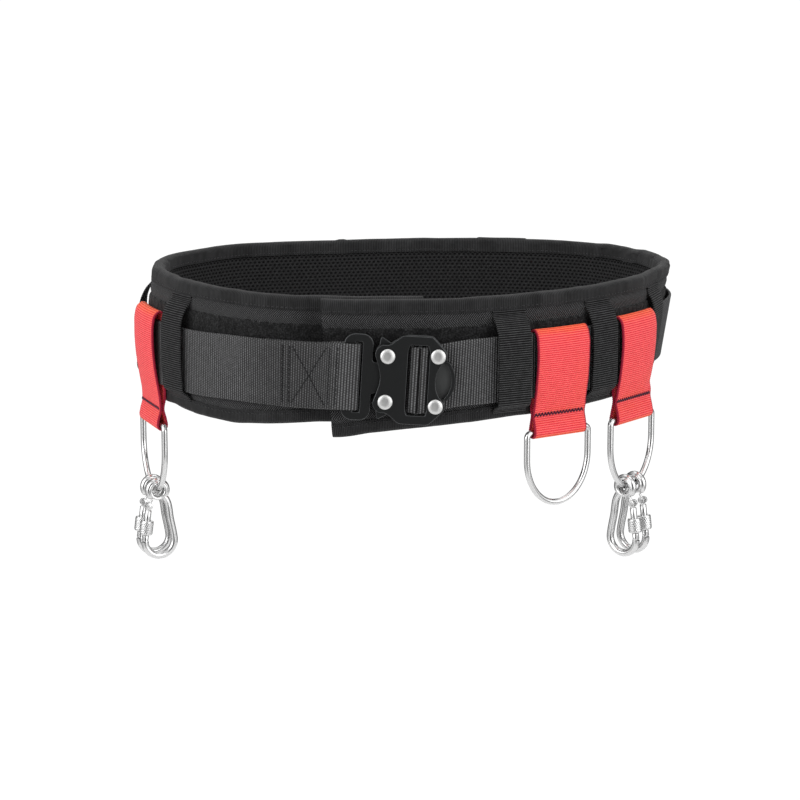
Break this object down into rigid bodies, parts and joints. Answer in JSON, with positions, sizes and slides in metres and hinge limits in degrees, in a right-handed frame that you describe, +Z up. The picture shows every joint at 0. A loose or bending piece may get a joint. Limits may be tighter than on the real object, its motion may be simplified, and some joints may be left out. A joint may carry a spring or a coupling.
{
  "type": "padded work belt",
  "caption": "Padded work belt closed in its waist loop, with ribbed webbing, a riveted release buckle, black belt loops and red drop straps with steel rings and snap hooks.",
  "frame": {"origin": "middle of the waist opening at half the height of the pad's upper part, 43 mm below the pad's top edge", "axes": "+X to the wearer's left as seen from the front (right in the picture), +Y from the buckle to the back, +Z up"},
  "size_m": [0.3897, 0.2877, 0.2051],
  "materials": {
    "pad_shell": "matt woven nylon over foam",
    "edge_binding": "ribbed grosgrain tape",
    "mesh_lining": "open air mesh",
    "fleece": "loop fastener fleece",
    "grey_webbing": "ribbed webbing",
    "black_webbing": "fine ribbed webbing",
    "red_webbing": "fine ribbed webbing",
    "steel": "polished",
    "rivet_steel": "satin",
    "black_metal": "black anodised, satin"
  },
  "bodies": {
    "belt": {"pad_body": "pad_shell", "edge_binding_top": "edge_binding", "edge_binding_bottom": "edge_binding", "mesh_lining": "mesh_lining", "fleece_band": "fleece", "webbing_belt": "grey_webbing", "belt_loop_left_1": "black_webbing", "belt_loop_left_2": "black_webbing", "belt_loop_right_1": "black_webbing", "belt_loop_right_2": "black_webbing", "belt_loop_right_3": "black_webbing", "drop_strap_left": "red_webbing", "drop_strap_centre": "red_webbing", "drop_strap_right": "red_webbing", "buckle_top_plate": "black_metal", "buckle_bottom_plate": "black_metal", "buckle_male_frame": "black_metal", "adjuster_bar": "black_metal", "rivet_upper_left": "rivet_steel", "rivet_lower_left": "rivet_steel", "rivet_upper_right": "rivet_steel", "rivet_lower_right": "rivet_steel"},
    "lever_upper": {"lever_upper": "black_metal"},
    "lever_lower": {"lever_lower": "black_metal"},
    "ring_left": {"ring_left": "steel"},
    "ring_centre": {"ring_centre": "steel"},
    "ring_right": {"ring_right": "steel"},
    "hook_left_front": {"hook_left_front": "steel"},
    "gate_left_front": {"gate_left_front": "steel"},
    "sleeve_left_front": {"sleeve_left_front": "steel"},
    "hook_left_rear": {"hook_left_rear": "steel"},
    "gate_left_rear": {"gate_left_rear": "steel"},
    "sleeve_left_rear": {"sleeve_left_rear": "steel"},
    "hook_right_front": {"hook_right_front": "steel"},
    "gate_right_front": {"gate_right_front": "steel"},
    "sleeve_right_front": {"sleeve_right_front": "steel"},
    "hook_right_rear": {"hook_right_rear": "steel"},
    "gate_right_rear": {"gate_right_rear": "steel"},
    "sleeve_right_rear": {"sleeve_right_rear": "steel"}
  },
  "joints": [
    {"name": "lever_upper_pivot", "type": "hinge", "parent": "belt", "child": "lever_upper", "pos_m": [-0.01383, -0.14919, 0.00786], "axis": [0.0349, -0.9994, 0], "range_deg": [0, 12], "stiffness_Nm_per_rad": 0.02, "springref_deg": -11.46},
    {"name": "lever_lower_pivot", "type": "hinge", "parent": "belt", "child": "lever_lower", "pos_m": [-0.01564, -0.14925, -0.02268], "axis": [-0.0349, 0.9994, 0], "range_deg": [0, 12], "stiffness_Nm_per_rad": 0.02, "springref_deg": -11.46},
    {"name": "ring_left_swing", "type": "hinge", "parent": "belt", "child": "ring_left", "pos_m": [-0.1792, -0.02765, -0.0624], "axis": [0.3758, -0.9267, 0], "range_deg": [-45, 45]},
    {"name": "ring_centre_swing", "type": "hinge", "parent": "belt", "child": "ring_centre", "pos_m": [0.1005, -0.10713, -0.0514], "axis": [0.8375, 0.5465, 0], "range_deg": [-45, 45]},
    {"name": "ring_right_swing", "type": "hinge", "parent": "belt", "child": "ring_right", "pos_m": [0.15375, -0.05751, -0.0524], "axis": [0.6163, 0.7875, 0], "range_deg": [-45, 45]},
    {"name": "hook_left_front_swing", "type": "hinge", "parent": "ring_left", "child": "hook_left_front", "pos_m": [-0.17691, -0.03331, -0.11145], "axis": [0.3758, -0.9267, 0], "range_deg": [-50, 50]},
    {"name": "hook_left_rear_swing", "type": "hinge", "parent": "ring_left", "child": "hook_left_rear", "pos_m": [-0.18149, -0.022, -0.11145], "axis": [0.3758, -0.9267, 0], "range_deg": [-50, 50]},
    {"name": "hook_right_front_swing", "type": "hinge", "parent": "ring_right", "child": "hook_right_front", "pos_m": [0.14999, -0.06232, -0.10145], "axis": [0.6163, 0.7875, 0], "range_deg": [-50, 50]},
    {"name": "hook_right_rear_swing", "type": "hinge", "parent": "ring_right", "child": "hook_right_rear", "pos_m": [0.15751, -0.05271, -0.10145], "axis": [0.6163, 0.7875, 0], "range_deg": [-50, 50]},
    {"name": "gate_left_front_hinge", "type": "hinge", "parent": "hook_left_front", "child": "gate_left_front", "pos_m": [-0.18288, -0.03573, -0.12283], "axis": [0.3758, -0.9267, 0], "range_deg": [0, 25], "stiffness_Nm_per_rad": 0.02, "springref_deg": -17.19},
    {"name": "gate_left_rear_hinge", "type": "hinge", "parent": "hook_left_rear", "child": "gate_left_rear", "pos_m": [-0.18746, -0.02442, -0.12283], "axis": [0.3758, -0.9267, 0], "range_deg": [0, 25], "stiffness_Nm_per_rad": 0.02, "springref_deg": -17.19},
    {"name": "gate_right_front_hinge", "type": "hinge", "parent": "hook_right_front", "child": "gate_right_front", "pos_m": [0.15506, -0.06629, -0.11283], "axis": [0.6163, 0.7875, 0], "range_deg": [0, 25], "stiffness_Nm_per_rad": 0.02, "springref_deg": -17.19},
    {"name": "gate_right_rear_hinge", "type": "hinge", "parent": "hook_right_rear", "child": "gate_right_rear", "pos_m": [0.16258, -0.05668, -0.11283], "axis": [0.6163, 0.7875, 0], "range_deg": [0, 25], "stiffness_Nm_per_rad": 0.02, "springref_deg": -17.19},
    {"name": "sleeve_left_front_screw", "type": "slide", "parent": "gate_left_front", "child": "sleeve_left_front", "axis": [-0.1201, -0.0487, -0.9916], "range_m": [-0.007, 0.0035]},
    {"name": "sleeve_left_rear_screw", "type": "slide", "parent": "gate_left_rear", "child": "sleeve_left_rear", "axis": [-0.1201, -0.0487, -0.9916], "range_m": [-0.007, 0.0035]},
    {"name": "sleeve_right_front_screw", "type": "slide", "parent": "gate_right_front", "child": "sleeve_right_front", "axis": [0.102, -0.0799, -0.9916], "range_m": [-0.007, 0.0035]},
    {"name": "sleeve_right_rear_screw", "type": "slide", "parent": "gate_right_rear", "child": "sleeve_right_rear", "axis": [0.102, -0.0799, -0.9916], "range_m": [-0.007, 0.0035]}
  ]
}
